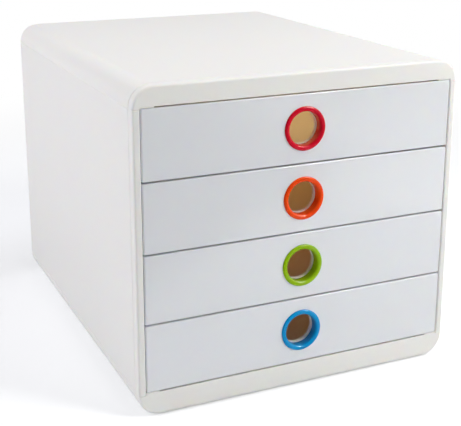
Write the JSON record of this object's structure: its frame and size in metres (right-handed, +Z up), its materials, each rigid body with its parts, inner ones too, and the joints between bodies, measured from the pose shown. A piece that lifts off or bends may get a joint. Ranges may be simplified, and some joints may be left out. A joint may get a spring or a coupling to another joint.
{
  "type": "plastic drawer tower",
  "caption": "Desktop drawer tower: a white moulded case with rounded long edges and stacked sliding drawers, each pulled by a coloured ring round a finger hole.",
  "frame": {"origin": "on the ground, under the middle of the whole tower", "axes": "+X to the right seen from the front, +Y from the drawer fronts to the back, +Z up"},
  "size_m": [0.288, 0.3574, 0.2695],
  "materials": {
    "case_white": "fine satin moulded polystyrene",
    "front_gloss": "polished moulded polystyrene",
    "tray_white": "satin moulded polystyrene, slightly translucent",
    "ring_red": "glossy coloured plastic",
    "ring_orange": "glossy coloured plastic",
    "ring_green": "glossy coloured plastic",
    "ring_blue": "glossy coloured plastic",
    "foot_rubber": "matte soft pad"
  },
  "bodies": {
    "case": {"top_cover": "case_white", "base": "case_white", "left_side": "case_white", "right_side": "case_white", "back_panel": "case_white", "foot_front_left": "foot_rubber", "foot_front_right": "foot_rubber", "foot_rear_left": "foot_rubber", "foot_rear_right": "foot_rubber"},
    "drawer_1": {"drawer_1_front": "front_gloss", "drawer_1_tray": "tray_white", "drawer_1_ring": "ring_red"},
    "drawer_2": {"drawer_2_front": "front_gloss", "drawer_2_tray": "tray_white", "drawer_2_ring": "ring_orange"},
    "drawer_3": {"drawer_3_front": "front_gloss", "drawer_3_tray": "tray_white", "drawer_3_ring": "ring_green"},
    "drawer_4": {"drawer_4_front": "front_gloss", "drawer_4_tray": "tray_white", "drawer_4_ring": "ring_blue"}
  },
  "joints": [
    {"name": "drawer_1_slide", "type": "slide", "parent": "case", "child": "drawer_1", "axis": [0, -1, 0], "range_m": [0, 0.25]},
    {"name": "drawer_2_slide", "type": "slide", "parent": "case", "child": "drawer_2", "axis": [0, -1, 0], "range_m": [0, 0.25]},
    {"name": "drawer_3_slide", "type": "slide", "parent": "case", "child": "drawer_3", "axis": [0, -1, 0], "range_m": [0, 0.25]},
    {"name": "drawer_4_slide", "type": "slide", "parent": "case", "child": "drawer_4", "axis": [0, -1, 0], "range_m": [0, 0.25]}
  ]
}
